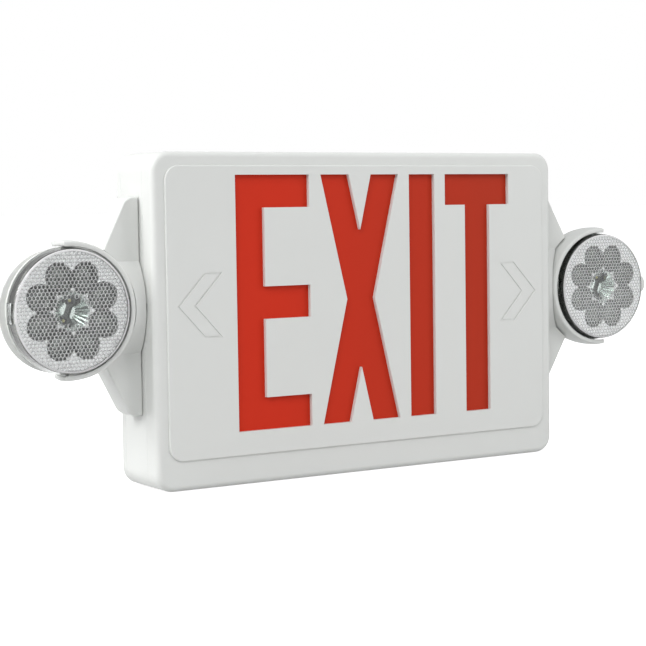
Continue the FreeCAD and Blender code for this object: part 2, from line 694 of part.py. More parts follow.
def wing_form(label, wall):
    """The wing's outer form, or with a wall thickness the room inside it."""
    thick = read(wall)
    start, middle = read(right_wall), read("light_line")
    flat, horn = start + read("wing_flat"), start + read("horn_reach")
    corners = [Vector(start - thick, middle - read("wing_half_height"), 0),
               Vector(flat, middle - read("wing_half_height"), 0),
               Vector(horn, middle - read("horn_half_height"), 0),
               Vector(horn, middle + read("horn_half_height"), 0),
               Vector(flat, middle + read("wing_half_height"), 0),
               Vector(start - thick, middle + read("wing_half_height"), 0)]
    if thick:
        corners = inset(corners, thick)
    body = new_body(label)
    plan = sketch_on(body, "XZ_Plane", ("0", "0", "case_depth - wing_front - wing_thickness"
                                        " + (%s)" % wall))
    outline(plan, [(spot.x, spot.y) for spot in corners])
    block = feature(body, "Pad", plan, "wing_thickness - 2 * (%s)" % wall)
    turned = [corners[1], corners[4]]
    round_edges(body, block, "wing_corner_radius - (%s)" % wall,
                lambda edge: edge.BoundBox.YLength > 1 and any(
                    math.hypot(edge.BoundBox.XMin - spot.x, edge.BoundBox.ZMin - spot.y) < 0.01
                    for spot in turned))
    if not thick:
        at_front = flat_edge_at("wing_front - case_depth")
        round_edges(body, body.Tip, "wing_edge_radius",
                    lambda edge: at_front(edge) and edge.BoundBox.XMax > flat)

    half = "(collar_half_height - (%s))" % wall
    front = "(collar_front + (%s) - case_depth)" % wall
    base = "(wing_front - case_depth)"
    rise = "(wing_front - collar_front)"
    bow = "((collar_half_height ^ 2 + %s ^ 2) / (2 * %s) - (%s))" % (rise, rise, wall)
    side = "(%s + %s - sqrt(%s ^ 2 - %s ^ 2))" % (front, bow, bow, half)
    back = base + " + wing_thickness / 2"
    collar = sketch_on(body, "YZ_Plane", ("0", "0", right_wall))
    outline(collar,
            [(front, "light_line"), (side, "light_line - " + half),
             (back, "light_line - " + half), (back, "light_line + " + half),
             (side, "light_line + " + half)],
            {0: (front + " + " + bow, "light_line", bow),
             4: (front + " + " + bow, "light_line", bow)})
    feature(body, "Pad", collar, "horn_reach - (%s)" % wall)
    return body


def make_wing():
    centre = ("head_reach", head_y, "light_line")
    boss_start = "head_reach - yoke_radius - scoop_gap - boss_thickness"
    rooms = wing_form("wing_room", "wing_wall")
    boss_rods = [rod("hub_boss", (boss_start, head_y, "light_line"), "boss_radius",
                     "yoke_radius", "x")]
    holes = [rod("hub_hole", (right_wall, head_y, "light_line"), "hub_radius + running_gap",
                 "yoke_radius", "x"),
             rod("nut_room", (right_wall, head_y, "light_line"),
                 "nut_radius + head_clearance", boss_start + " - (%s)" % right_wall, "x"),
             ball("scoop", centre, "yoke_radius + scoop_gap")]
    for up in ("light_line + wing_screw_up", "light_line - wing_screw_up"):
        boss_rods.append(rod("screw_boss", (right_wall, "wing_screw_depth - case_depth", up),
                             "wing_boss_radius", "horn_reach", "x"))
        holes.append(rod("screw_bore", (right_wall, "wing_screw_depth - case_depth", up),
                         screw_bore, "wing_boss_length", "x"))
    scoop_wall = ball("scoop_wall", centre, "yoke_radius + scoop_gap + wing_wall")
    room = cut("wing_cavity", rooms, [scoop_wall] + boss_rods)
    shadow_line = box("shadow_line", (right_wall, "0 - case_depth", "0 - case_height / 2"),
                      ("shadow_gap", "case_depth", "case_height"))
    stepped = fuse("wing_solid", [cut("wing_skin", wing_form("wing_outer", "0"), [shadow_line]),
                                  wing_form("wing_step", "shadow_inset")])
    keep(cut("right_wing", stepped, [room] + holes))

    seat = "case_width / 2 - wall"
    keep(group("right_wing_screws",
               [screw((seat, "wing_screw_depth - case_depth", up), "x", 1, "screw_length")
                for up in ("light_line + wing_screw_up", "light_line - wing_screw_up")]))


def head_sketch(body):
    """A sketch through the middle of the right lamp head, upright axis along Y."""
    return sketch_on(body, "XY_Plane", ("head_reach", head_y, "light_line"))


def make_arm():
    body = new_body("yoke_blank")
    band = head_sketch(body)
    outer, inner = "yoke_radius", "(yoke_radius - yoke_wall)"

    def edge(radius, along):
        return "0 - sqrt(%s ^ 2 - %s ^ 2)" % (radius, along)
    outline(band, [(edge(outer, "yoke_front"), "0 - yoke_front"),
                   (edge(outer, "yoke_back"), "yoke_back"),
                   (edge(inner, "yoke_back"), "yoke_back"),
                   (edge(inner, "yoke_front"), "0 - yoke_front")],
            {0: (0, 0, outer), 2: (0, 0, inner)})
    arc = revolve(body, "Revolution", band, "180 deg + 2 * asin(yoke_tip / yoke_radius)", True)
    round_edges(body, arc, "yoke_edge_radius", lambda edge: edge.Length > read("yoke_radius"))
    hub_start = "head_reach - yoke_radius - hub_length"
    hub = sketch_on(body, "YZ_Plane", ("0", "0", hub_start))
    ring(hub, (head_y, "light_line"), "hub_radius")
    feature(body, "Pad", hub, "hub_length + yoke_wall / 2")
    wires = sketch_on(body, "YZ_Plane", ("0", "0", hub_start))
    ring(wires, (head_y, "light_line"), "hub_bore")
    feature(body, "Pocket", wires, "hub_length + 2 * yoke_wall", True)
    pin_hole = rod("pin_hole", ("head_reach", head_y, "light_line - 2 * yoke_radius"),
                   "pin_radius + running_gap", "4 * yoke_radius", "z")
    keep(cut("right_yoke", body, [pin_hole]))

    pin_length = "yoke_radius - pin_end_gap - pin_start"
    keep(group("right_pivot_pins", [
        rod("upper_pin", ("head_reach", head_y, "light_line + pin_start"), "pin_radius",
            pin_length, "z"),
        rod("lower_pin", ("head_reach", head_y, "light_line - yoke_radius + pin_end_gap"),
            "pin_radius", pin_length, "z")]))

    washer_start = "head_reach - yoke_radius - scoop_gap - boss_thickness - washer_thickness"
    nut_start = washer_start + " - nut_thickness"
    bore = rod("nut_bore", (hub_start, head_y, "light_line"),
               "hub_radius + running_gap", "yoke_radius", "x")
    keep(cut("right_swivel_washer", rod("washer_blank", (washer_start, head_y, "light_line"),
                                        "nut_radius", "washer_thickness", "x"), [bore]))
    keep(cut("right_swivel_nut", rod("nut_blank", (nut_start, head_y, "light_line"),
                                     "nut_radius", "nut_thickness", "x"), [bore]))


def make_lamp_shell():
    body = new_body("shell_blank")
    section = head_sketch(body)
    inside = "(rim_radius - shell_wall)"
    depth_inside = "(shell_back - shell_wall)"
    outer_bow = "((rim_radius ^ 2 + shell_back ^ 2) / (2 * shell_back))"
    inner_bow = "((%s ^ 2 + %s ^ 2) / (2 * %s))" % (inside, depth_inside, depth_inside)
    outline(section, [("rim_radius", "0 - rim_ahead"), ("rim_radius", "0"), ("0", "shell_back"),
                      ("0", depth_inside), (inside, "0"), (inside, "0 - rim_ahead")],
            {1: (0, "shell_back - " + outer_bow, outer_bow),
             3: (0, depth_inside + " - " + inner_bow, inner_bow)})
    revolve(body, "Revolution", section)
    flange = head_sketch(body)
    outline(flange, [("rim_radius - boss_bite", "0 - rim_ahead"),
                     ("flange_radius", "0 - rim_ahead"),
                     ("flange_radius", "flange_thickness - rim_ahead"),
                     ("rim_radius - boss_bite", "flange_thickness - rim_ahead")])
    revolve(body, "Revolution", flange, "flange_angle", True)
    tab = sketch_on(body, "XZ_Plane", ("head_reach", "light_line", "rim_ahead - (%s)" % head_y
                                       + " - flange_thickness"))
    tab_middle = "tab_reach - tab_radius"
    outline(tab, [("rim_radius", "0 - tab_radius"), (tab_middle, "0 - tab_radius"),
                  ("tab_reach", "0"), (tab_middle, "tab_radius"), ("rim_radius", "tab_radius")],
            {1: (tab_middle, "0", "tab_radius"), 2: (tab_middle, "0", "tab_radius")})
    feature(body, "Pad", tab, "flange_thickness")

    bosses, bores = [], []
    for start, bore_start in (("light_line + pin_start - 2 * pin_radius",
                               "light_line + pin_start - pin_end_gap"),
                              ("light_line - rim_radius + boss_bite",
                               "light_line - yoke_radius")):
        bosses.append(rod("pin_boss", ("head_reach", head_y, start), "pin_boss_radius",
                          "rim_radius - boss_bite - pin_start + 2 * pin_radius", "z"))
        bores.append(rod("pin_bore", ("head_reach", head_y, bore_start),
                         "pin_radius + running_gap", "yoke_radius - pin_start + pin_end_gap",
                         "z"))
    posts = []
    board_back = head_y + " - lens_ahead + lens_face + reflector_gap + reflector_depth" \
        " + board_thickness"
    for index in range(int(read("post_count"))):
        angle = "(360 deg * (%d + 0.5) / post_count)" % index
        posts.append(rod("board_post", ("head_reach + post_ring * cos(%s)" % angle, board_back,
                                        "light_line + post_ring * sin(%s)" % angle),
                         "post_radius", "shell_back - shell_wall", "y"))
    inside_form = ball("post_limit", ("head_reach", head_y + " + shell_back - shell_wall / 2"
                                      " - " + outer_bow, "light_line"), outer_bow)
    posts = [common("board_post_fitted", [post, inside_form]) for post in posts]
    keep(cut("right_lamp_shell", fuse("shell_with_bosses", [body] + bosses + posts), bores))


def make_lens():
    body = new_body("lens_cap")
    section = head_sketch(body)
    face = "0 - lens_ahead"
    outline(section, [("0", face), ("lens_radius - lens_edge", face),
                      ("lens_radius", face + " + lens_edge"), ("rim_radius", "0 - rim_ahead"),
                      ("rim_radius - lens_wall", "0 - rim_ahead"),
                      ("lens_radius - lens_wall", face + " + lens_face"),
                      ("0", face + " + lens_face")])
    revolve(body, "Revolution", section)
    bars = cut("latch_bars", box(
        "latch_bar", ("head_reach - latch_reach", head_y + " - latch_front",
                      "light_line - latch_half_height"),
        ("2 * latch_reach", "latch_front - latch_back", "2 * latch_half_height")),
        [rod("latch_room", ("head_reach", head_y + " - 2 * latch_front", "light_line"),
             "lens_radius - lens_wall / 2", "2 * latch_front", "y")])
    latches = common("latches", [bars, ball("latch_limit", ("head_reach", head_y, "light_line"),
                                            "latch_reach")])
    keep(fuse("right_lens", [body, latches]))


def make_reflector():
    """A plated tray with a ring of cups round a central cup."""
    front = "(%s - lens_ahead + lens_face + reflector_gap)" % head_y
    tray_low = ("head_reach", front, "light_line")
    tray = rod("tray", tray_low, "reflector_radius", "cup_wall", "y")
    skirt = cut("skirt", rod("skirt_out", tray_low, "reflector_radius",
                             "lens_ahead - lens_face - reflector_gap - rim_ahead", "y"),
                [rod("skirt_in", ("head_reach", front + " + cup_wall", "light_line"),
                     "reflector_radius - lens_wall", "lens_ahead", "y")])
    cups, rooms = [], []
    for index in range(int(read("petal_count"))):
        angle = "(360 deg * (%d + 0.5) / petal_count)" % index
        spot = ("head_reach + petal_ring * cos(%s)" % angle, front,
                "light_line + petal_ring * sin(%s)" % angle)
        cups.append(taper("cup", spot, "petal_radius + cup_wall",
                          "petal_floor_radius + cup_wall", "petal_depth + cup_wall", "y"))
        rooms.append(taper("cup_room", spot, "petal_radius", "petal_floor_radius",
                           "petal_depth", "y"))
    middle = ("head_reach", front, "light_line")
    cups.append(taper("centre_cup", middle, "centre_radius + cup_wall",
                      "centre_floor_radius + cup_wall", "reflector_depth", "y"))
    rooms.append(taper("centre_room", middle, "centre_radius", "centre_floor_radius",
                       "reflector_depth", "y"))
    keep(cut("right_reflector", fuse("reflector_blank", [tray, skirt] + cups), rooms))


def make_lamp_board():
    front = "(%s - lens_ahead + lens_face + reflector_gap + reflector_depth)" % head_y
    keep(rod("right_lamp_board", ("head_reach", front, "light_line"), "lamp_board_radius",
             "board_thickness", "y"))
    keep(group("right_lamp_leds", [
        box("lamp_led", ("head_reach - lamp_led_size / 2", front + " - lamp_led_height",
                         "light_line - lamp_led_size / 2 + (%s) * lamp_led_spacing" % step),
            ("lamp_led_size", "lamp_led_height", "lamp_led_size"))
        for step in ("0.5", "(0 - 0.5)")]))


def mirror_to_left(item):
    """The left-hand twin of a right-hand piece."""
    twin = doc.addObject("Part::Mirroring", item.Label.replace("right_", "left_"))
    twin.Label = item.Label.replace("right_", "left_")
    twin.Source = item
    twin.Normal = Vector(1, 0, 0)
    keep(twin)


make_front_cover()
make_legend_panel()
make_light_boards()
make_rear_housing()
make_back_plate()
make_electrics()
make_test_button()
right_start = len(nodes)
make_wing()
make_arm()
make_lamp_shell()
make_lens()
make_reflector()
make_lamp_board()
for right_piece in nodes[right_start:]:
    mirror_to_left(right_piece)

doc.recompute()
faults = [item.Label for item in doc.Objects
          if "Invalid" in item.State or "Error" in item.State]
if faults:
    raise RuntimeError("not built: " + ", ".join(faults))
for item in nodes:
    if item.Shape.isNull() or not item.Shape.isValid() or not item.Shape.Solids:
        raise RuntimeError("bad shape: " + item.Label)

os.makedirs("parts", exist_ok=True)
for item in nodes:
    item.Shape.exportStep(os.path.join("parts", item.Label + ".step"))
    print("%-22s %2d solid(s) %10.1f mm3" % (item.Label, len(item.Shape.Solids),
                                            item.Shape.Volume))
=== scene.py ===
import json
import math

import bmesh
import bpy
from mathutils import Matrix, Vector


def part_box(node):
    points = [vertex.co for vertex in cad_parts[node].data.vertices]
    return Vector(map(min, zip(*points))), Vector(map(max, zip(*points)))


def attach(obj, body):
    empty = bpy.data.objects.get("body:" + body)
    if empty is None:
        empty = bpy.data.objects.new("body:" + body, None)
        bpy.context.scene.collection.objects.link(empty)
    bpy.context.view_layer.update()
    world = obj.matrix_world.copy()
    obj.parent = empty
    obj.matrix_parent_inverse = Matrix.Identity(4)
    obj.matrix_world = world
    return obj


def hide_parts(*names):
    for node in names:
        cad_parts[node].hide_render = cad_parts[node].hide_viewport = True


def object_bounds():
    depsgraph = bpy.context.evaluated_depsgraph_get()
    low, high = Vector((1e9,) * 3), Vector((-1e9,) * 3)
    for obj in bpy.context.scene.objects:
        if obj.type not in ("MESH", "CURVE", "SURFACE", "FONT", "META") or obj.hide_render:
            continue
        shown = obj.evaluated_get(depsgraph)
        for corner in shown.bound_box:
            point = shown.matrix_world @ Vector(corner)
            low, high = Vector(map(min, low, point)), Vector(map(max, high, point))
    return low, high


# Exit sign with two swivelling lamp heads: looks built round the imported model.
# Metres throughout, -Y is the lit face, Z is up, the wall plane is Y = 0.
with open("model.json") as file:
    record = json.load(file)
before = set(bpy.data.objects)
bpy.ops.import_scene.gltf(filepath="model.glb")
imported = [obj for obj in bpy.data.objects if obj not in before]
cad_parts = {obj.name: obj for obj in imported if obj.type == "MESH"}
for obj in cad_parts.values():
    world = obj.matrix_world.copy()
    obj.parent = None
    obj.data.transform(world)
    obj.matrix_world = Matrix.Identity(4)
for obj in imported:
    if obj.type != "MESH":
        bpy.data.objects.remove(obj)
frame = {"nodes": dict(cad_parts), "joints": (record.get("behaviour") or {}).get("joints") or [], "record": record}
cadLow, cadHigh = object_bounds()
nodes = frame["nodes"]
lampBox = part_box("right_lamp_board")
lampReach = (lampBox[0].x + lampBox[1].x) / 2
lampUp = (lampBox[0].z + lampBox[1].z) / 2
trayAhead = 0.0010
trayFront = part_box("right_reflector")[0].y - trayAhead
weld = 1e-6


# Shader helpers

def newMaterial(name):
    made = bpy.data.materials.new(name)
    made.use_nodes = True
    made.node_tree.nodes.clear()
    out = made.node_tree.nodes.new("ShaderNodeOutputMaterial")
    shader = made.node_tree.nodes.new("ShaderNodeBsdfPrincipled")
    made.node_tree.links.new(shader.outputs["BSDF"], out.inputs["Surface"])
    return made, made.node_tree, shader


def addNode(tree, kind, inputs=None, **settings):
    node = tree.nodes.new(kind)
    for key, value in settings.items():
        setattr(node, key, value)
    for key, value in (inputs or {}).items():
        if isinstance(value, bpy.types.NodeSocket):
            tree.links.new(value, node.inputs[key])
        else:
            node.inputs[key].default_value = value
    return node


def addMath(tree, operation, *values):
    return addNode(tree, "ShaderNodeMath", dict(enumerate(values)),
                   operation=operation).outputs["Value"]


def addRange(tree, value, low=0.0, high=1.0, toLow=0.0, toHigh=1.0, **settings):
    return addNode(tree, "ShaderNodeMapRange",
                   {"Value": value, "From Min": low, "From Max": high, "To Min": toLow,
                    "To Max": toHigh}, **settings).outputs["Result"]


def addMix(tree, factor, first, second):
    return addNode(tree, "ShaderNodeMix", {"Factor": factor, "A": first, "B": second},
                   data_type="RGBA").outputs["Result"]


def addCloud(tree, scale, detail):
    # object coordinates, and a noise laid over them
    spot = addNode(tree, "ShaderNodeTexCoord").outputs["Object"]
    cloud = addNode(tree, "ShaderNodeTexNoise",
                    {"Vector": spot, "Scale": scale, "Detail": detail})
    return spot, cloud.outputs["Fac"]


def addSeen(tree):
    # 1 for what the camera, mirrors and glass look at, 0 for plain lighting
    path = addNode(tree, "ShaderNodeLightPath").outputs
    direct = addMath(tree, "MAXIMUM", path["Is Camera Ray"], path["Is Glossy Ray"])
    return addMath(tree, "MAXIMUM", direct, path["Is Transmission Ray"]), path["Is Camera Ray"]


def feed(tree, shader, **sockets):
    for key, value in sockets.items():
        socket = shader.inputs[key.replace("_", " ")]
        if isinstance(value, bpy.types.NodeSocket):
            tree.links.new(value, socket)
        else:
            socket.default_value = value


def newGroup(name, takes, gives):
    group = bpy.data.node_groups.new(name, "ShaderNodeTree")
    for label, kind, value in takes:
        socket = group.interface.new_socket(label, in_out="INPUT", socket_type=kind)
        if value is not None:
            socket.default_value = value
    for label, kind in gives:
        group.interface.new_socket(label, in_out="OUTPUT", socket_type=kind)
    return (group, group.nodes.new("NodeGroupInput"), group.nodes.new("NodeGroupOutput"))


def placeGroup(tree, group, **inputs):
    node = tree.nodes.new("ShaderNodeGroup")
    node.node_tree = group
    for key, value in inputs.items():
        socket = node.inputs[key]
        if isinstance(value, bpy.types.NodeSocket):
            tree.links.new(value, socket)
        else:
            socket.default_value = value
    return node


def mouldedGroup():
    # satin moulded plastic: two tones, grain in the gloss and a fine skin
    group, takes, gives = newGroup(
        "mouldedSkin",
        [("Colour", "NodeSocketColor", (0.8, 0.8, 0.8, 1)),
         ("Shade", "NodeSocketColor", (0.7, 0.7, 0.7, 1)),
         ("Gloss", "NodeSocketFloat", 0.4), ("Uneven", "NodeSocketFloat", 0.3),
         ("Grain", "NodeSocketFloat", 1500.0), ("Depth", "NodeSocketFloat", 0.1)],
        [("Colour", "NodeSocketColor"), ("Roughness", "NodeSocketFloat"),
         ("Normal", "NodeSocketVector")])
    spot, cloud = addCloud(group, 9.0, 3.0)
    tone = addRange(group, cloud, 0.3, 0.7, toHigh=takes.outputs["Uneven"])
    mixed = addMix(group, tone, takes.outputs["Colour"], takes.outputs["Shade"])
    grain = addNode(group, "ShaderNodeTexNoise",
                    {"Vector": spot, "Scale": takes.outputs["Grain"], "Detail": 2.0})
    rough = addMath(group, "MULTIPLY_ADD", grain.outputs["Fac"], 0.12, takes.outputs["Gloss"])
    bump = addNode(group, "ShaderNodeBump",
                   {"Height": grain.outputs["Fac"], "Strength": takes.outputs["Depth"],
                    "Distance": 0.0002})
    group.links.new(mixed, gives.inputs["Colour"])
    group.links.new(rough, gives.inputs["Roughness"])
    group.links.new(bump.outputs["Normal"], gives.inputs["Normal"])
    return group


skin = mouldedGroup()


def plasticMaterial(name, colour, shade, gloss=0.4, uneven=0.3, grain=1500.0, depth=0.1,
                    **extra):
    made, tree, shader = newMaterial(name)
    look = placeGroup(tree, skin, Colour=(*colour, 1), Shade=(*shade, 1), Gloss=gloss,
                      Uneven=uneven, Grain=grain, Depth=depth)
    feed(tree, shader, Base_Color=look.outputs["Colour"],
         Roughness=look.outputs["Roughness"], Normal=look.outputs["Normal"], **extra)
    return made


def metalMaterial(name, colour, gloss, streak):
    made, tree, shader = newMaterial(name)
    cloud = addCloud(tree, 120.0, 4.0)[1]
    rough = addRange(tree, cloud, toLow=gloss, toHigh=gloss + streak)
    tint = addMix(tree, cloud, (*colour, 1), (*[part * 0.85 for part in colour], 1))
    feed(tree, shader, Base_Color=tint, Roughness=rough, Metallic=1.0)
    return made


def lensMaterial():
    made, tree, shader = newMaterial("clearLens")
    rough = addRange(tree, addCloud(tree, 60.0, 2.0)[1], toLow=0.02, toHigh=0.06)
    feed(tree, shader, Base_Color=(0.97, 0.99, 0.98, 1), Roughness=rough, Metallic=0.0,
         Transmission_Weight=1.0, IOR=1.49)
    return made


def valleyFrostAndRimHighlightMaterial():
    # the valleys between the lens's cells, which scatter the light; on the lens's rounded front edge the same
    # whitish finish is a painted highlight
    made, tree, shader = newMaterial("valleyFrostAndRimHighlight")
    tone = addMix(tree, addCloud(tree, 700.0, 2.0)[1], (0.80, 0.79, 0.80, 1),
                  (0.62, 0.62, 0.62, 1))
    feed(tree, shader, Base_Color=tone, Roughness=0.35, Metallic=0.0,
         Transmission_Weight=0.12, IOR=1.49)
    return made


platingShapeAndPaintedReflection = {
    # depths behind the tray's front, then distances from the lamp's middle
    "flatTo": 0.0001, "downFrom": 0.0010, "bowlTo": 0.0112, "cupsFrom": 0.0126,
    "cupsTo": 0.0330, "skirtFrom": 0.0334,
    # painted reflection: white tray, grey bowl and near black cups and skirt stand in for what the one plated
    # finish mirrors
    "tray": ((0.98, 0.955, 0.975, 1), (0.93, 0.91, 0.93, 1)), "bowl": (0.52, 0.56, 0.54, 1),
    "cups": ((0.15, 0.16, 0.15, 1), (0.07, 0.075, 0.07, 1)), "skirt": (0.13, 0.13, 0.115, 1),
}


def platingMaterial():
    # satin on the flat tray, with painted reflection over the one plating: white on the tray, bright in the middle
    # bowl, near black in the cups and skirt where the plating mirrors dark surroundings
    settings = platingShapeAndPaintedReflection
    made, tree, shader = newMaterial("plating")
    spot, cloud = addCloud(tree, 160.0, 4.0)
    parts = addNode(tree, "ShaderNodeSeparateXYZ", {"Vector": spot}).outputs
    down = addRange(tree, parts["Y"], trayFront + settings["flatTo"],
                    trayFront + settings["downFrom"])
    across = addMath(tree, "SUBTRACT", addMath(tree, "ABSOLUTE", parts["X"]), lampReach)
    up = addMath(tree, "SUBTRACT", parts["Z"], lampUp)
    flat = addNode(tree, "ShaderNodeCombineXYZ", {"X": across, "Y": up})
    reach = addNode(tree, "ShaderNodeVectorMath", {0: flat.outputs["Vector"]},
                    operation="LENGTH").outputs["Value"]
    outside = addRange(tree, reach, settings["bowlTo"], settings["cupsFrom"])
    tray = addMix(tree, cloud, *settings["tray"])
    bowl = addMix(tree, down, tray, settings["bowl"])
    edge = addRange(tree, reach, settings["cupsTo"], settings["skirtFrom"])
    cups = addMix(tree, edge, addMix(tree, cloud, *settings["cups"]), settings["skirt"])
    tone = addMix(tree, addMath(tree, "MULTIPLY", down, outside), bowl, cups)
    feed(tree, shader, Base_Color=tone, Roughness=addRange(tree, down, toLow=0.5, toHigh=0.16),
         Metallic=addRange(tree, down, toLow=0.15, toHigh=1.0))
    return made


def redMaterial():
    # translucent sheet over the light strips, with painted shade darker towards the right end
    made, tree, shader = newMaterial("redDiffuser")
    look = placeGroup(tree, skin, Colour=(0.60, 0.030, 0.010, 1), Shade=(0.55, 0.025, 0.008, 1),
                      Gloss=0.5, Uneven=0.4, Grain=1500.0, Depth=0.1)
    spot = addNode(tree, "ShaderNodeTexCoord").outputs["Object"]
    across = addNode(tree, "ShaderNodeSeparateXYZ", {"Vector": spot}).outputs["X"]
    # painted shade: the colour darkens towards the right end, from x -0.06 to 0.09
    tone = addMix(tree, addRange(tree, across, -0.06, 0.09), look.outputs["Colour"],
                  (0.44, 0.032, 0.011, 1))
    feed(tree, shader, Base_Color=tone, Roughness=look.outputs["Roughness"],
         Normal=look.outputs["Normal"], Specular_IOR_Level=0.12)
    return made


finishes = {
    "white_plastic": plasticMaterial("whitePlastic", (0.69, 0.70, 0.68), (0.64, 0.65, 0.63)),
    "red_diffuser": redMaterial(),
    "circuit_board": plasticMaterial("solderMask", (0.03, 0.16, 0.07), (0.02, 0.11, 0.05)),
    "red_led": plasticMaterial("ledResin", (0.8, 0.12, 0.1), (0.7, 0.08, 0.06), gloss=0.15),
    "core_steel": metalMaterial("coreSteel", (0.30, 0.30, 0.32), 0.45, 0.2),
    "battery_wrap": plasticMaterial("shrinkWrap", (0.04, 0.14, 0.34), (0.03, 0.10, 0.26),
                                    gloss=0.25),
    "plated_steel": metalMaterial("platedSteel", (0.62, 0.62, 0.64), 0.25, 0.15),
    "black_plastic": plasticMaterial("blackPlastic", (0.02, 0.02, 0.022), (0.03, 0.03, 0.03)),
    "button_red": plasticMaterial("buttonRed", (0.52, 0.02, 0.015), (0.44, 0.015, 0.01)),
    "indicator": plasticMaterial("greenIndicator", (0.05, 0.35, 0.08), (0.04, 0.28, 0.06),
                                 gloss=0.15),
    "clear_lens": lensMaterial(),
    "reflector_chrome": platingMaterial(),
    "lamp_board_white": plasticMaterial("lampBoard", (0.16, 0.18, 0.17), (0.12, 0.14, 0.13)),
    "white_led": plasticMaterial("ledPhosphor", (0.60, 0.56, 0.24), (0.52, 0.48, 0.18),
                                 gloss=0.2),
}
frostAndRimHighlight = valleyFrostAndRimHighlightMaterial()
for part in frame["record"]["subparts"]:
    nodes[part["node"]].data.materials.clear()
    nodes[part["node"]].data.materials.append(finishes[part["material_slot"]])
print("finishes set")


# Lamp heads: reflector, lamps and lens of each side

def linkForm(form, name):
    mesh = bpy.data.meshes.new(name)
    form.to_mesh(mesh)
    form.free()
    placed = bpy.data.objects.new(name, mesh)
    bpy.context.scene.collection.objects.link(placed)
    return placed


def copyNode(name):
    form = bmesh.new()
    form.from_mesh(nodes[name].data)
    bmesh.ops.remove_doubles(form, verts=form.verts, dist=weld)
    return form


def everything(form):
    return form.verts[:] + form.edges[:] + form.faces[:]


def openEdges(form):
    return [edge for edge in form.edges if edge.is_boundary]


def edgesAt(corners):
    # each edge once, in the same order every run
    return list(dict.fromkeys(edge for corner in corners for edge in corner.link_edges))


def levelEdges(edges):
    return [edge for edge in edges if abs(edge.verts[0].co.z - edge.verts[1].co.z) < weld]


def roundEdges(form, edges, size, segments=2):
    bmesh.ops.bevel(form, geom=edges, offset=size, offset_type="OFFSET", segments=segments,
                    profile=0.5, affect="EDGES", material=-1)


def addDisc(form, segments, low, high, depth, place):
    return bmesh.ops.create_cone(form, cap_ends=True, segments=segments, radius1=low,
                                 radius2=high, depth=depth,
                                 matrix=Matrix.Translation(place))["verts"]


def spinProfile(form, profile, steps, closed=False):
    row = [form.verts.new((reach, 0, ahead)) for reach, ahead in profile]
    ends = row[1:] + row[:1] if closed else row[1:]
    edges = [form.edges.new(pair) for pair in zip(row, ends)
             if pair[0].co.x + pair[1].co.x > weld]
    bmesh.ops.spin(form, geom=row + edges, cent=(0, 0, 0), axis=(0, 0, 1),
                   angle=2 * math.pi, steps=steps, use_merge=True)


def headPlace(side):
    # centre of the lamp head, where both of its hinges cross
    turn = next(joint for joint in frame["joints"] if joint["name"] == side + "_turn")
    return Vector(turn["pos_m"])


def standUp(form, side):
    # local Z points out of the lamp, so the form is stood up and carried to its head
    bmesh.ops.remove_doubles(form, verts=form.verts, dist=weld)
    bmesh.ops.recalc_face_normals(form, faces=form.faces)
    bmesh.ops.transform(form, verts=form.verts, matrix=Matrix.Translation(headPlace(side))
                        @ Matrix.Rotation(math.radians(90), 4, "X"))


def keepPiece(form, name, body, finish, stands, smooth):
    for face in form.faces:
        face.smooth = True
    for edge in form.edges:
        edge.smooth = (len(edge.link_faces) == 2
                       and edge.calc_face_angle(0) < math.radians(smooth))
    piece = linkForm(form, name)
    piece.data.materials.append(finishes[finish])
    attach(piece, body)
    if stands:
        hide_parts(*stands)
    return piece


def finishPiece(form, name, side, finish, *stands, smooth=30.0):
    standUp(form, side)
    return keepPiece(form, name, side + "_lamp", finish,
                     [side + "_" + label for label in stands], smooth)


lensShape = {
    "pitch": 0.00235, "cellSteps": ((0.00014, 0.00014), (0.00024, 0.00016), (0.00028, 0.00006)),
    "clearHalfWidth": 0.0108, "clearHalfHeight": 0.0082, "sides": 72,
    "patternRadius": 0.0337, "innerFace": 0.0114,
    # reach and ahead of each ring, from the pattern out over the rim to the front
    "rings": ((0.0338, 0.0114), (0.0339, 0.0108), (0.0350, 0.0036), (0.0364, 0.0034),
              (0.0353, 0.0110), (0.0350, 0.0117), (0.0345, 0.0122), (0.0338, 0.0125)),
    # painted highlight: rings from this one on form the rounded front edge and take the whitish frosted finish
    "paintedHighlightFrom": 6,
    "latchHeight": 0.0062, "latchDepth": 0.0028, "latchReach": 0.0372, "latchRoot": 0.0349,
    "latchAhead": 0.0066, "latchEdge": 0.0006, "cellWeld": 0.00235 / 50,
}


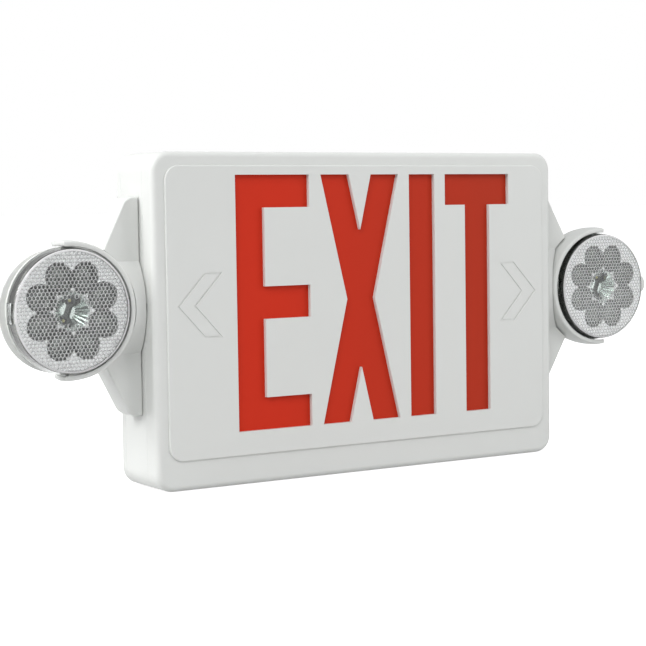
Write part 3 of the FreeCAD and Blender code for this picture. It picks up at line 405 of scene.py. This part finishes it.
def makeLens(side):
    settings = lensShape
    form = bmesh.new()
    pitch, rise = settings["pitch"], settings["pitch"] * math.sqrt(3) / 2
    rows = int(settings["patternRadius"] / rise) + 2
    for row in range(-rows, rows + 1):
        for step in range(-rows - 1, rows + 2):
            spot = Vector(((step + (row % 2) / 2) * pitch, row * rise, settings["innerFace"]))
            if spot.xy.length < settings["patternRadius"] + pitch:
                bmesh.ops.create_circle(form, cap_ends=True, segments=6,
                                        radius=pitch / math.sqrt(3),
                                        matrix=Matrix.Translation(spot))
    bmesh.ops.remove_doubles(form, verts=form.verts, dist=settings["cellWeld"])
    form.normal_update()
    cells = [face for face in form.faces
             if math.hypot(face.calc_center_median().x / settings["clearHalfWidth"],
                           face.calc_center_median().y / settings["clearHalfHeight"]) > 1]
    outwards = -1 if cells[0].normal.z > 0 else 1
    for index, (thickness, depth) in enumerate(settings["cellSteps"]):
        walls = bmesh.ops.inset_individual(form, faces=cells, thickness=thickness,
                                           depth=outwards * depth, use_even_offset=True)["faces"]
        for wall in walls:
            wall.material_index = 1 if index == 0 else 0
    for index in range(settings["sides"]):
        turn = 2 * math.pi * index / settings["sides"]
        outward = Vector((math.cos(turn), math.sin(turn), 0))
        bmesh.ops.bisect_plane(form, geom=everything(form),
                               plane_co=outward * settings["patternRadius"],
                               plane_no=outward, clear_outer=True)
    for index, (reach, ahead) in enumerate(settings["rings"]):
        grown = bmesh.ops.extrude_edge_only(form, edges=openEdges(form))["geom"]
        # the rounded front edge gets the whitish finish as a painted highlight
        for item in grown:
            if isinstance(item, bmesh.types.BMFace):
                item.material_index = 1 if index >= settings["paintedHighlightFrom"] else 0
        for corner in {corner for edge in openEdges(form) for corner in edge.verts}:
            corner.co = (*(corner.co.xy.normalized() * reach), ahead)
    for face in bmesh.ops.edgeloop_fill(form, edges=openEdges(form))["faces"]:
        face.material_index = 0
    for way in (-1, 1):
        addLatch(form, settings, way)
    piece = finishPiece(form, side + "LensDetail", side, "clear_lens", "lens", smooth=14.0)
    piece.data.materials.append(frostAndRimHighlight)


def addLatch(form, settings, way):
    # a springy clip, as a bar with rounded edges
    made = bmesh.ops.create_cube(form, size=1.0)["verts"]
    wide = settings["latchReach"] - settings["latchRoot"]
    bmesh.ops.scale(form, verts=made, vec=(wide, 2 * settings["latchHeight"],
                                           settings["latchDepth"]))
    bmesh.ops.translate(form, verts=made, vec=(way * (settings["latchRoot"] + wide / 2), 0,
                                               settings["latchAhead"]))
    roundEdges(form, edgesAt(made), settings["latchEdge"])


wingShape = {"root": 0.1465, "reach": 0.025, "lean": 0.003, "skin": -0.0235}


def makeWing(side):
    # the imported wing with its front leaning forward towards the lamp
    settings = wingShape
    form = copyNode(side + "_wing")
    for corner in form.verts:
        if corner.co.y < settings["skin"]:
            out = (abs(corner.co.x) - settings["root"]) / settings["reach"]
            corner.co.y -= settings["lean"] * min(1, max(0, out))
    keepPiece(form, side + "WingBody", "case", "white_plastic", [side + "_wing"], 26.0)


yokeShape = {
    "radius": 0.0414, "inner": 0.0385, "front": 0.0089, "back": 0.0095, "bend": 10,
    "tip": 0.0037, "steps": 72, "squash": 0.970, "edge": 0.0007,
    "edgeSteps": 3, "sharp": 50.0, "hubRadius": 0.0036, "hubReach": 0.0460,
    "hubSides": 40, "pinReach": 0.0396,
}


def makeYoke(side):
    # a spherical band from pivot to pivot round the inboard half of the lamp
    settings = yokeShape
    inward = -1 if side == "right" else 1
    form = bmesh.new()
    rows = []
    for reach in (settings["radius"], settings["inner"]):
        row = []
        for step in range(settings["bend"] + 1):
            share = (settings["front"] + settings["back"]) * step / settings["bend"]
            ahead = settings["front"] - share
            row.append(form.verts.new((0, math.sqrt(reach ** 2 - ahead ** 2), ahead)))
        rows.append(row)
    ring = rows[0] + rows[1][::-1]
    section = form.faces.new(ring)
    extra = math.asin(settings["tip"] / settings["radius"])
    bmesh.ops.rotate(form, verts=form.verts, cent=(0, 0, 0),
                     matrix=Matrix.Rotation(inward * extra, 3, "Z"))
    bmesh.ops.spin(form, geom=[section], cent=(0, 0, 0), axis=(0, 0, 1),
                   angle=-inward * (math.pi + 2 * extra), steps=settings["steps"],
                   use_merge=False)
    bmesh.ops.remove_doubles(form, verts=form.verts, dist=weld)
    bmesh.ops.recalc_face_normals(form, faces=form.faces)
    sharp = [edge for edge in form.edges if len(edge.link_faces) == 2
             and edge.calc_face_angle(0) > math.radians(settings["sharp"])]
    roundEdges(form, sharp, settings["edge"], settings["edgeSteps"])
    bmesh.ops.scale(form, verts=form.verts, vec=(1, settings["squash"], 1))
    long = settings["hubReach"] - settings["inner"]
    bmesh.ops.create_cone(
        form, cap_ends=True, segments=settings["hubSides"], radius1=settings["hubRadius"],
        radius2=settings["hubRadius"], depth=long,
        matrix=Matrix.Translation((inward * (settings["inner"] + long / 2), 0, 0))
        @ Matrix.Rotation(math.radians(90), 4, "Y"))
    standUp(form, side)
    keepPiece(form, side + "YokeArm", side + "_arm", "white_plastic", [side + "_yoke"], 30.0)

    # the pivot pins end flush in the yoke's rounded tips
    pins = copyNode(side + "_pivot_pins")
    middle = headPlace(side).z
    for corner in pins.verts:
        high = corner.co.z - middle
        corner.co.z = middle + max(-settings["pinReach"], min(settings["pinReach"], high))
    keepPiece(pins, side + "PivotPins", side + "_arm", "plated_steel",
              [side + "_pivot_pins"], 30.0)


rimShape = {
    # reach and ahead down the outside of the dish, then back up the inside
    "outside": ((0.0364, 0.0034), (0.0364, 0.0), (0.0352, -0.0022), (0.0320, -0.0062),
                (0.0272, -0.0107), (0.0215, -0.0146), (0.0150, -0.0178), (0.0078, -0.0199),
                (0.0, -0.0208)),
    "inside": ((0.0, -0.0190), (0.0076, -0.0181), (0.0145, -0.0161), (0.0208, -0.0130),
               (0.0262, -0.0094), (0.0306, -0.0053), (0.0336, -0.0014), (0.0346, 0.0),
               (0.0346, 0.0034)),
    "steps": 96, "crescentRadius": 0.0353, "crescentOut": 0.0044, "bite": 0.0357,
    "thickness": 0.0016, "edge": 0.0004,
}


def makeRim(side):
    # the lamp's dish, with a slim crescent on the side away from the yoke
    settings = rimShape
    outward = 1 if side == "right" else -1
    ring, room = bmesh.new(), bmesh.new()
    deep = settings["thickness"]
    for form, reach, across, tall in ((ring, settings["crescentRadius"],
                                       outward * settings["crescentOut"], deep),
                                      (room, settings["bite"], 0.0, 3 * deep)):
        addDisc(form, settings["steps"], reach, reach, tall, (across, 0, 0))
    roundEdges(ring, levelEdges(ring.edges), settings["edge"])
    form = cutForm(ring, [room])
    spinProfile(form, settings["outside"] + settings["inside"], settings["steps"], closed=True)
    finishPiece(form, side + "LampRim", side, "white_plastic", "lamp_shell")


tabShape = {"radius": 0.0066, "reach": 0.0439, "ahead": 0.0042, "thickness": 0.0015,
            "edge": 0.0004, "sides": 48, "root": 0.0363}


def makeTab(side):
    # the finger tab that aims the lamp, cut off flat where it meets the rim
    settings = tabShape
    form = bmesh.new()
    made = addDisc(form, settings["sides"], settings["radius"], settings["radius"],
                   settings["thickness"],
                   (settings["reach"] - settings["radius"], 0, settings["ahead"]))
    roundEdges(form, levelEdges(edgesAt(made)), settings["edge"])
    bmesh.ops.bisect_plane(form, geom=everything(form), plane_co=(settings["root"], 0, 0),
                           plane_no=(-1, 0, 0), clear_outer=True)
    bmesh.ops.edgeloop_fill(form, edges=openEdges(form))
    finishPiece(form, side + "AimTab", side, "white_plastic")


emitterShape = {
    "spots": ((0.0021, 0.0057), (-0.0021, -0.0057)), "bodySide": 0.0042, "bodyHeight": 0.0011,
    "phosphorRadius": 0.00095, "boardFront": 0.0009, "edge": 0.00022,
}

reflectorShape = {
    "radius": 0.0336, "front": 0.0109, "back": 0.0010, "sides": 96,
    "cups": 8, "cupRing": 0.0201, "cupFacets": 16, "cupStretch": 1.12,
    # radius and depth down a cup, from its mouth to its floor
    "cupProfile": ((0.0085, 0.0), (0.0080, 0.0017), (0.0070, 0.0036), (0.0055, 0.0053),
                   (0.0034, 0.0064), (0.0, 0.0068)),
    "cupProud": 0.002, "cupFlare": 0.0002,
    "centreMouth": 0.0122, "centreFloor": 0.0050, "centreDepth": 0.0068,
    "centreProud": 0.001, "centreFlare": 0.0006, "flutes": 24, "fluteDepth": 0.0011,
    "wellRadius": 0.0035, "wellFlare": 0.0006, "wellDown": 0.001, "wellSides": 28,
    "slotWidth": 0.0040, "slotDown": 0.0015,
}


def cupCutter(settings):
    # one cup of the eight, standing proud of the tray so the cut is clean
    form = bmesh.new()
    mouth = settings["cupProfile"][0][0] + settings["cupFlare"]
    profile = [(mouth, settings["cupProud"])]
    profile += [(reach, -depth) for reach, depth in settings["cupProfile"]]
    spinProfile(form, profile, settings["cupFacets"])
    bmesh.ops.remove_doubles(form, verts=form.verts, dist=weld)
    bmesh.ops.edgeloop_fill(form, edges=openEdges(form))
    bmesh.ops.scale(form, verts=form.verts, vec=(settings["cupStretch"], 1, 1))
    bmesh.ops.recalc_face_normals(form, faces=form.faces)
    return form


def centreCutter(settings):
    # the middle bowl opens towards the lens, with a fan of flutes left and right
    form = bmesh.new()
    deep = settings["centreDepth"] + settings["centreProud"]
    made = addDisc(form, 2 * settings["flutes"], settings["centreFloor"],
                   settings["centreMouth"] + settings["centreFlare"], deep,
                   (0, 0, settings["centreProud"] - deep / 2))
    for corner in made:
        turn = math.atan2(corner.co.y, corner.co.x)
        place = round(turn / (math.pi / settings["flutes"]))
        if place % 2 and abs(math.cos(turn)) > 0.5:
            shrink = 1 - settings["fluteDepth"] / corner.co.xy.length
            corner.co = (corner.co.x * shrink, corner.co.y * shrink, corner.co.z)
    bmesh.ops.recalc_face_normals(form, faces=form.faces)
    return form


def wellCutters(settings):
    # a well for each emitter and the slanting slot that joins them
    through = 2 * (settings["front"] - settings["back"])
    made = []
    for across, up in emitterShape["spots"]:
        form = bmesh.new()
        addDisc(form, settings["wellSides"], settings["wellRadius"],
                settings["wellRadius"] + settings["wellFlare"], through,
                (across, up, -through / 2 - settings["wellDown"]))
        made.append(form)
    (across, up), (back, down) = emitterShape["spots"]
    form = bmesh.new()
    bmesh.ops.create_cube(form, size=1.0)
    bmesh.ops.scale(form, verts=form.verts, vec=(settings["slotWidth"],
                                                 math.hypot(across - back, up - down), through))
    bmesh.ops.rotate(form, verts=form.verts, cent=(0, 0, 0),
                     matrix=Matrix.Rotation(-math.atan2(across - back, up - down), 3, "Z"))
    bmesh.ops.translate(form, verts=form.verts, vec=(0, 0, -through / 2 - settings["slotDown"]))
    made.append(form)
    return made


def cutForm(target, cutters):
    # takes each cutter out of the target with an exact boolean
    work = linkForm(target, "work")
    tools = [linkForm(cutter, "tool") for cutter in cutters]
    for tool in tools:
        step = work.modifiers.new("cut", "BOOLEAN")
        step.operation = "DIFFERENCE"
        step.solver = "EXACT"
        step.object = tool
    done = bmesh.new()
    done.from_object(work, bpy.context.evaluated_depsgraph_get())
    for item in [work] + tools:
        data = item.data
        bpy.data.objects.remove(item)
        bpy.data.meshes.remove(data)
    return done


def makeReflector(side):
    # a thick plated disc with the cups, the bowl and the emitters' wells cut out of it
    settings = reflectorShape
    puck = bmesh.new()
    deep = settings["front"] - settings["back"]
    addDisc(puck, settings["sides"], settings["radius"], settings["radius"], deep,
            (0, 0, settings["front"] - deep / 2))
    cutters = []
    for index in range(settings["cups"]):
        turn = 2 * math.pi * (index + 0.5) / settings["cups"]
        cutter = cupCutter(settings)
        bmesh.ops.transform(cutter, verts=cutter.verts, matrix=Matrix.Rotation(turn, 4, "Z")
                            @ Matrix.Translation((settings["cupRing"], 0, settings["front"])))
        cutters.append(cutter)
    for cutter in [centreCutter(settings)] + wellCutters(settings):
        bmesh.ops.translate(cutter, verts=cutter.verts, vec=(0, 0, settings["front"]))
        cutters.append(cutter)
    finishPiece(cutForm(puck, cutters), side + "ReflectorDetail", side, "reflector_chrome",
                "reflector", smooth=12.0)


def makeEmitters(side):
    # two packages on the lamp's board, each under a low dome of phosphor
    settings = emitterShape
    bodies, glow = bmesh.new(), bmesh.new()
    top = settings["boardFront"] + settings["bodyHeight"]
    for across, up in settings["spots"]:
        made = bmesh.ops.create_cube(bodies, size=1.0)["verts"]
        bmesh.ops.scale(bodies, verts=made, vec=(settings["bodySide"], settings["bodySide"],
                                                 settings["bodyHeight"]))
        bmesh.ops.translate(bodies, verts=made,
                            vec=(across, up, top - settings["bodyHeight"] / 2))
        roundEdges(bodies, edgesAt(made), settings["edge"])
        dome = bmesh.ops.create_icosphere(glow, subdivisions=3,
                                          radius=settings["phosphorRadius"])["verts"]
        bmesh.ops.scale(glow, verts=dome, vec=(1, 1, 0.5))
        bmesh.ops.translate(glow, verts=dome, vec=(across, up, top))
    finishPiece(bodies, side + "LampPackages", side, "black_plastic")
    finishPiece(glow, side + "LampPhosphor", side, "white_led", "lamp_leds")


for side in ("left", "right"):
    makeWing(side)
    makeYoke(side)
    makeRim(side)
    makeReflector(side)
    makeEmitters(side)
    makeLens(side)
makeTab("right")
print("lamp heads made")


# Floor, light and camera

def makeStage():
    settings = {"reach": 60.0, "colour": (0.5, 0.5, 0.5), "gap": 0.0003, "lift": 0.9}
    plan = bmesh.new()
    bmesh.ops.create_grid(plan, x_segments=1, y_segments=1, size=settings["reach"])
    bmesh.ops.translate(plan, verts=plan.verts, vec=(0, 0, cadLow.z - settings["gap"]))
    floor = linkForm(plan, "floor")
    made, tree, shader = newMaterial("paleFloor")
    feed(tree, shader, Base_Color=(*settings["colour"], 1), Roughness=0.8)
    lift = addMath(tree, "MULTIPLY", addSeen(tree)[0], settings["lift"])
    feed(tree, shader, Emission_Color=(1, 1, 1, 1), Emission_Strength=lift)
    floor.data.materials.append(made)


def makeWorld():
    settings = {"ambient": 0.42, "tint": (0.96, 0.98, 1.0), "dark": 0.02,
                "darkFrom": -0.80, "whiteFrom": -0.15, "whiteWay": (0.2, 0.98, 0.0)}
    world = bpy.data.worlds.new("studio")
    world.use_nodes = True
    tree = world.node_tree
    tree.nodes.clear()
    out = addNode(tree, "ShaderNodeOutputWorld")
    seen, fromCamera = addSeen(tree)
    ambient = addNode(tree, "ShaderNodeBackground",
                      {"Color": (*settings["tint"], 1), "Strength": settings["ambient"]})
    # white all round for the camera, darker ahead of the lit face in mirrors and glass
    way = addNode(tree, "ShaderNodeVectorMath",
                  {0: addNode(tree, "ShaderNodeTexCoord").outputs["Generated"],
                   1: settings["whiteWay"]}, operation="DOT_PRODUCT")
    level = addRange(tree, way.outputs["Value"], settings["darkFrom"], settings["whiteFrom"],
                     settings["dark"], interpolation_type="SMOOTHSTEP")
    level = addMath(tree, "MAXIMUM", level, fromCamera)
    white = addNode(tree, "ShaderNodeBackground", {"Color": (1, 1, 1, 1), "Strength": level})
    mix = addNode(tree, "ShaderNodeMixShader", {0: seen, 1: ambient.outputs["Background"],
                                                2: white.outputs["Background"]})
    tree.links.new(mix.outputs["Shader"], out.inputs["Surface"])
    bpy.context.scene.world = world


def makeLamps():
    lamps = {
        "key": {"place": (-3.6, -3.4, 4.4), "size": 3.2, "power": 188.0},
        "side": {"place": (-1.7, 0.2, 1.1), "size": 1.0, "power": 29.0},
        "fill": {"place": (1.6, -1.6, 0.8), "size": 1.4, "power": 18.0},
    }
    for name, lamp in lamps.items():
        light = bpy.data.lights.new(name, "AREA")
        light.shape = "SQUARE"
        light.size = lamp["size"]
        light.energy = lamp["power"]
        holder = bpy.data.objects.new(name, light)
        holder.location = lamp["place"]
        holder.rotation_euler = (-Vector(lamp["place"])).to_track_quat("-Z", "Y").to_euler()
        bpy.context.scene.collection.objects.link(holder)


def makeCamera():
    shot = {"place": (-0.59172, -0.94216, 0.06523), "turn": 32.0, "tilt": 3.8, "roll": -0.83,
            "lens": 96.67}
    data = bpy.data.cameras.new("camera")
    data.lens = shot["lens"]
    data.sensor_width = 36.0
    camera = bpy.data.objects.new("camera", data)
    camera.matrix_world = (
        Matrix.Translation(shot["place"])
        @ Matrix.Rotation(-math.radians(shot["turn"]), 4, "Z")
        @ Matrix.Rotation(math.radians(90 - shot["tilt"]), 4, "X")
        @ Matrix.Rotation(math.radians(shot["roll"]), 4, "Z"))
    bpy.context.scene.collection.objects.link(camera)
    bpy.context.scene.camera = camera


makeStage()
makeWorld()
makeLamps()
makeCamera()
bpy.context.scene.view_settings.view_transform = "Standard"
print("stage, lamps and camera placed")
